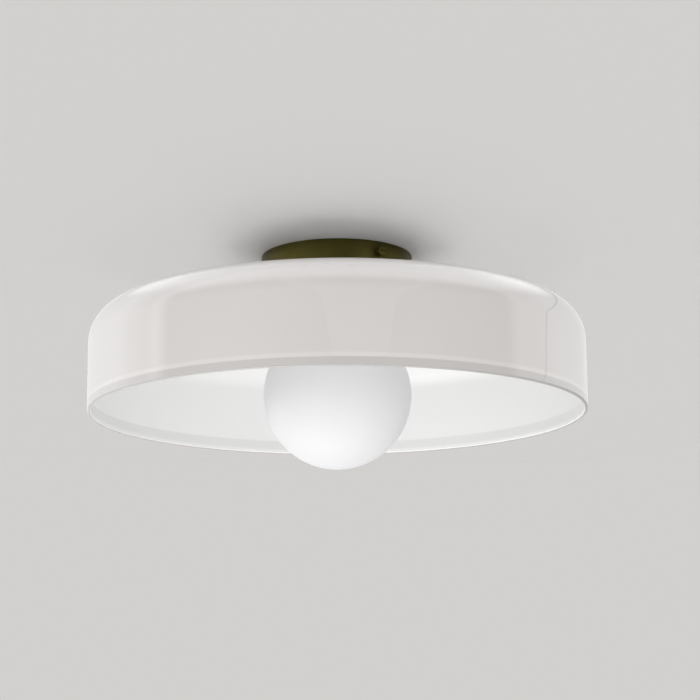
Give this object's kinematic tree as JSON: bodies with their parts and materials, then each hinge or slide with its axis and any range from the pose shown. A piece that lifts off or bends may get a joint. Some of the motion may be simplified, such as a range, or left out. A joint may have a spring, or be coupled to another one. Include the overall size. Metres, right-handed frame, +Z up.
{
  "type": "glass ceiling light",
  "caption": "Semi-flush ceiling light: a wide opal glass drum with a clear lip under a small bronze canopy, lit by one opal globe lamp.",
  "frame": {"origin": "centre of the mounting strap's slot pattern, on the ceiling plane and on the axis of the shade", "axes": "+Z up into the ceiling along the axis of the shade; Y along the mounting strap, its slots and the two side screws; the light hangs below Z = 0"},
  "size_m": [0.42, 0.42, 0.1827],
  "materials": {
    "shade_glass": "opal cased inside clear glass, gloss outside, with a clear fire-polished lip",
    "bronze": "burnished dark bronze, fine brushing round the axis, satin lacquer",
    "gasket": "soft silicone",
    "zinc_steel": "bright zinc plate",
    "holder_black": "moulded heat-resistant thermoplastic",
    "porcelain": "unglazed white steatite",
    "contact_brass": "bright drawn brass",
    "lamp_glass": "satin opal",
    "lamp_collar": "moulded white thermoplastic",
    "lamp_cap": "nickel plate",
    "black_glass": "moulded black glass",
    "solder": "dull solder",
    "clear_glass": "clear",
    "phosphor": "yellow silicone over the chips",
    "circuit_board": "bare white board",
    "terminal_plastic": "translucent nylon",
    "line_sleeve": "brown heat-resistant sleeve",
    "neutral_sleeve": "blue heat-resistant sleeve",
    "earth_sleeve": "green and yellow sleeve"
  },
  "bodies": {
    "fixture": {"canopy": "bronze", "upper_gasket": "gasket", "mounting_strap": "zinc_steel", "ear_nuts": "zinc_steel", "lampholder_shell": "holder_black", "lampholder_cap": "holder_black", "lampholder_core": "porcelain", "screw_shell": "contact_brass", "centre_contact": "contact_brass", "holder_terminals": "contact_brass", "holder_grub_screws": "zinc_steel", "upper_ring_nut": "holder_black", "terminal_block": "terminal_plastic", "terminal_clamps": "contact_brass", "clamp_screws": "zinc_steel", "block_screws": "zinc_steel", "earth_tag": "zinc_steel", "earth_washer": "zinc_steel", "earth_screw": "contact_brass", "line_lead": "line_sleeve", "neutral_lead": "neutral_sleeve", "earth_lead": "earth_sleeve"},
    "shade": {"glass_shade": "shade_glass", "lower_gasket": "gasket"},
    "ring": {"shade_ring": "holder_black"},
    "bulb": {"bulb_globe": "lamp_glass", "bulb_collar": "lamp_collar", "bulb_cap": "lamp_cap", "bulb_insulator": "black_glass", "bulb_tip": "solder", "bulb_stem": "clear_glass", "stick_wires": "zinc_steel", "light_sticks": "phosphor", "driver_board": "circuit_board"},
    "washer_front": {"side_washer_front": "bronze"},
    "screw_front": {"side_screw_front": "bronze"},
    "washer_back": {"side_washer_back": "bronze"},
    "screw_back": {"side_screw_back": "bronze"}
  },
  "joints": [
    {"name": "shade_drop", "type": "slide", "parent": "fixture", "child": "shade", "axis": [0, 0, -1], "range_m": [0, 0.003]},
    {"name": "ring_turn", "type": "hinge", "parent": "shade", "child": "ring", "pos_m": [0, 0, -0.0544], "axis": [0, 0, -1], "range_deg": [0, 432]},
    {"name": "lamp_turn", "type": "hinge", "parent": "fixture", "child": "bulb", "pos_m": [0, 0, -0.044], "axis": [0, 0, -1], "range_deg": [0, 1260]},
    {"name": "front_screw_out", "type": "slide", "parent": "fixture", "child": "washer_front", "axis": [0, -1, 0], "range_m": [0, 0.0077]},
    {"name": "front_screw_turn", "type": "hinge", "parent": "washer_front", "child": "screw_front", "pos_m": [0, -0.066, -0.0095], "axis": [0, -1, 0], "range_deg": [0, 3960]},
    {"name": "back_screw_out", "type": "slide", "parent": "fixture", "child": "washer_back", "axis": [0, 1, 0], "range_m": [0, 0.0077]},
    {"name": "back_screw_turn", "type": "hinge", "parent": "washer_back", "child": "screw_back", "pos_m": [0, 0.066, -0.0095], "axis": [0, 1, 0], "range_deg": [0, 3960]}
  ],
  "couplings": [
    {"joint": "ring_turn", "follows": "shade_drop", "rad_per_m": 2513.3},
    {"joint": "front_screw_turn", "follows": "front_screw_out", "rad_per_m": 8976},
    {"joint": "back_screw_turn", "follows": "back_screw_out", "rad_per_m": 8976}
  ]
}
